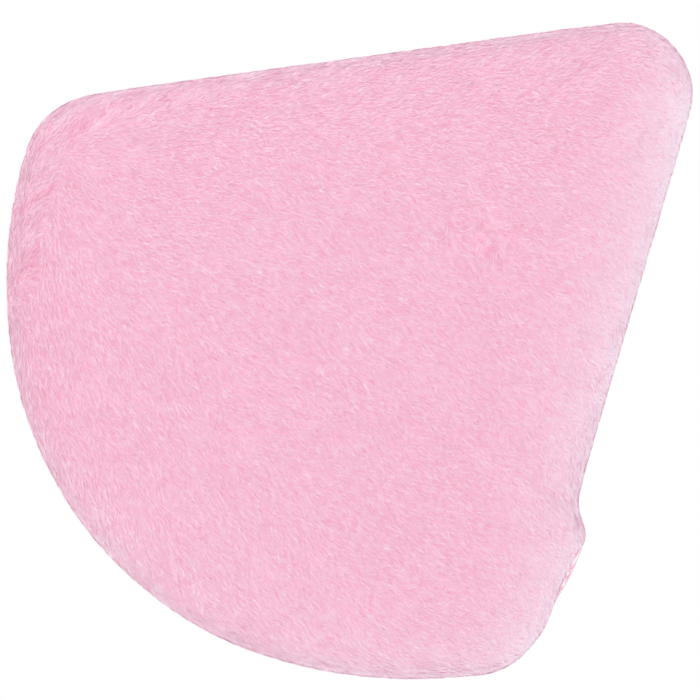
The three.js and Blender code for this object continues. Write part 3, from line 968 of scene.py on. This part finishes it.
def ribbon_line(y):
    """One lengthwise line of the ribbon, from its caught end on -X over the back to the one on +X."""
    top = BACK_HEIGHT + STRAP_RISE - STRAP_TURN_RADIUS
    from_tip_side = 1 / 2 - (y - CENTRE_Y) / RIBBON_WIDTH
    shows = STRAP_SHOWS * math.sin(math.pi * from_tip_side / STRAP_SHOWING_SHARE)
    reach = {-1: EDGE.half_width(y, -1) + shows, 1: EDGE.half_width(y, 1) - STRAP_TUCKED}
    caught = (GROOVE_DEPTH + RIBBON_CAUGHT) / math.cos(SIDE_ANGLE)

    def end(side):
        turn = np.linspace(0, math.pi / 2, TURN_STEPS, endpoint=False)
        out = reach[side] - STRAP_TURN_RADIUS * (1 - np.sin(turn))
        up = STRAP_TURN_RADIUS * (1 - np.cos(turn))
        inner = np.linspace(reach[side] - caught, out[0], TURN_STEPS, endpoint=False)
        flat_part = np.column_stack([side * inner, np.zeros(len(inner))])
        return np.concatenate([flat_part, np.column_stack([side * out, up])])

    angle = np.linspace(0, math.pi, ARCH_STEPS + 1)
    wide = np.where(angle < math.pi / 2, reach[-1], reach[1]) * np.cos(angle)
    arch = np.column_stack([-wide, STRAP_TURN_RADIUS + top * np.sin(angle)])
    return np.concatenate([end(-1), arch, end(1)[::-1]])


def ribbon_rows(share, half_thickness):
    """The upper and the lower row of points at a share of the half width, rippled and drooping."""
    y = CENTRE_Y + RIBBON_WIDTH / 2 * share
    line = ribbon_line(y)
    up = quarter_turned(unit(np.gradient(line, axis=0)))
    free = np.clip(line[:, 1] / STRAP_FREE_HEIGHT, 0, 1)
    flat = np.column_stack([line[:, 0], np.full(len(line), RIBBON_WIDTH / 2 * share)])
    ripple = RIPPLE * noise(flat, RIPPLE_SIZE, RIPPLE_SEED)
    line = line + (free * (ripple - EDGE_DROOP * share**2))[:, None] * up
    rows = []
    for side in (1, -1):
        moved = line + side * half_thickness * up
        rows.append(np.column_stack([moved[:, 0], np.full(len(line), y), SEAM_Z + moved[:, 1]]))
    return rows


def make_ribbon():
    across = np.linspace(-1, 1, RIBBON_STRIPS + 1)
    across = np.sign(across) * np.abs(across) ** STRIP_CROWDING
    from_edge = RIBBON_WIDTH / 2 * (1 - np.abs(across))
    bead = np.sqrt(np.clip(1 - (from_edge / SELVEDGE_WIDTH * 2 - 1) ** 2, 0, 1))
    thick = RIBBON_THICKNESS / 2 + (SELVEDGE_THICKNESS - RIBBON_THICKNESS) / 2 * bead
    top, bottom = zip(*(ribbon_rows(share, half) for share, half in zip(across, thick)))
    loop = np.stack(top + bottom[::-1])
    sections, stations = loop.shape[:2]
    faces = []
    for i in range(sections):
        j = (i + 1) % sections
        for k in range(stations - 1):
            faces.append((i * stations + k, i * stations + k + 1, j * stations + k + 1, j * stations + k))
    faces.append(tuple(i * stations for i in range(sections)))
    faces.append(tuple(i * stations + stations - 1 for i in range(sections))[::-1])
    ribbon = new_mesh("ribbon", loop.reshape(-1, 3), faces)
    ribbon.data.materials.append(satin_material())
    middle = ribbon_line(CENTRE_Y)
    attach(ribbon, "root")
    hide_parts("ribbon_strap")


# Threads

def tube(name, points, radius):
    """A tube of thread through points, closed at both ends."""
    run = unit(np.gradient(points, axis=0))
    side = unit(np.cross(run, [0, 0, 1]))
    over = np.cross(side, run)
    angles = np.linspace(0, 2 * math.pi, THREAD_SIDES, endpoint=False)
    lines = [points + radius * (np.cos(angle) * side + np.sin(angle) * over) for angle in angles]
    rings = np.stack(lines, axis=1)
    body = np.concatenate([points[:1], rings.reshape(-1, 3), points[-1:]])
    return new_mesh(name, body, ring_faces(len(points), THREAD_SIDES))


def make_closing_stitches():
    """Small slanted stitches that cross the seam groove of the +X side, over and over."""
    side_start_y = TIP_Y - TIP_RADIUS * (1 - math.sin(SIDE_ANGLE))
    side_start = np.array([TIP_RADIUS * math.cos(SIDE_ANGLE), side_start_y])
    turns = CLOSING_LENGTH / CLOSING_PITCH
    share = np.linspace(0, 1, round(turns * STITCH_STEPS))
    phase = 2 * math.pi * turns * share
    along = CLOSING_START + CLOSING_LENGTH * share
    inset = CLOSING_INSET + CLOSING_SWING * np.cos(phase)
    flat = side_start + along[:, None] * SIDE_RUN - inset[:, None] * SIDE_OUTWARD
    height = SEAM_Z + CLOSING_HALF_HEIGHT * np.sin(phase)
    stitches = tube("slip_stitches", np.column_stack([flat, height]), THREAD_RADIUS)
    stitches.data.materials.append(thread_material("pink_thread", CLOSING_TONES))
    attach(stitches, "root")
    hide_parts("closing_stitches")


def dress_threads():
    """The overlock thread and the tacks keep their frame solids and get spun-thread materials."""
    pale = thread_material("overlock_yarn", OVERLOCK_TONES)
    pink = thread_material("tacking_thread", TACK_TONES)
    for node, material in (("overlock_thread", pale), ("left_strap_tack", pink), ("right_strap_tack", pink)):
        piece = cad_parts[node]
        piece.data.materials.clear()
        piece.data.materials.append(material)


# Stage

def make_camera():
    camera = add_object("camera", bpy.data.cameras.new("camera"))
    camera.data.sensor_width = SENSOR
    camera.data.lens = SENSOR * CAMERA_DISTANCE / FRAME_WIDTH
    camera.data.clip_start = CAMERA_NEAR
    backward = Vector((0, 0, -1))
    up = CAMERA_UP.normalized()
    turn = Matrix((up.cross(backward), up, backward)).transposed().to_4x4()
    camera.matrix_world = Matrix.Translation(AIM + backward * CAMERA_DISTANCE) @ turn
    bpy.context.scene.camera = camera


def make_lamp(name, place, size, power):
    """A round lamp that shines on the puff and doesn't show."""
    data = bpy.data.lights.new(name, "AREA")
    data.shape = "DISK"
    data.size = size
    data.energy = power
    lamp = add_object(name, data)
    lamp.location = place
    lamp.rotation_euler = (-Vector(place)).to_track_quat("-Z", "Y").to_euler()
    lamp.visible_camera = False


def make_world():
    """White to the eye. As a light it is even, and a little stronger from the sides."""
    world = bpy.data.worlds.new("studio")
    bpy.context.scene.world = world
    world.use_nodes = True
    tree = world.node_tree
    path = add_node(tree, "LightPath")
    shown = path.outputs["Is Camera Ray"]
    for kind in ("Is Glossy Ray", "Is Transmission Ray"):
        shown = add_node(tree, "Math", {0: shown, 1: path.outputs[kind]}, operation="MAXIMUM").outputs[0]
    way = add_node(tree, "TexCoord").outputs["Generated"]
    height = add_node(tree, "SeparateXYZ", {"Vector": way}).outputs["Z"]
    steep = add_node(tree, "Math", {0: height}, operation="ABSOLUTE").outputs[0]
    inputs = {"Value": steep, "To Min": SIDE_LIGHT, "To Max": POLE_LIGHT}
    light = add_node(tree, "MapRange", inputs).outputs["Result"]
    inputs = {"Value": shown, "To Min": light, "To Max": 1}
    strength = add_node(tree, "MapRange", inputs).outputs["Result"]
    fill(tree, tree.nodes["Background"], {"Color": (1, 1, 1, 1), "Strength": strength})


def make_floor():
    """A pale floor that shows from above and lets the camera and the light pass from below."""
    corners = [(x * FLOOR_REACH, y * FLOOR_REACH, 0) for x, y in ((-1, -1), (1, -1), (1, 1), (-1, 1))]
    floor = new_mesh("floor", corners, [(0, 1, 2, 3)], smooth=False)
    inputs = {"Base Color": (0.93, 0.92, 0.92, 1), "Roughness": 0.6}
    material, tree, shader = new_material("pale_floor", inputs)
    below = add_node(tree, "NewGeometry").outputs["Backfacing"]
    clear = add_node(tree, "BsdfTransparent").outputs["BSDF"]
    both = add_node(tree, "MixShader", {"Fac": below, 1: shader.outputs["BSDF"], 2: clear})
    fill(tree, tree.nodes["Material Output"], {"Surface": both.outputs["Shader"]})
    floor.data.materials.append(material)
    floor.visible_diffuse = False
    floor.visible_glossy = False
    floor.visible_transmission = False
    floor.visible_shadow = False


make_camera()
make_covers()
make_foam()
make_ribbon()
make_closing_stitches()
dress_threads()
make_world()
make_floor()
for name, (place, size, power) in LAMPS.items():
    make_lamp(name, place, size, power)
bpy.context.scene.view_settings.view_transform = "Standard"
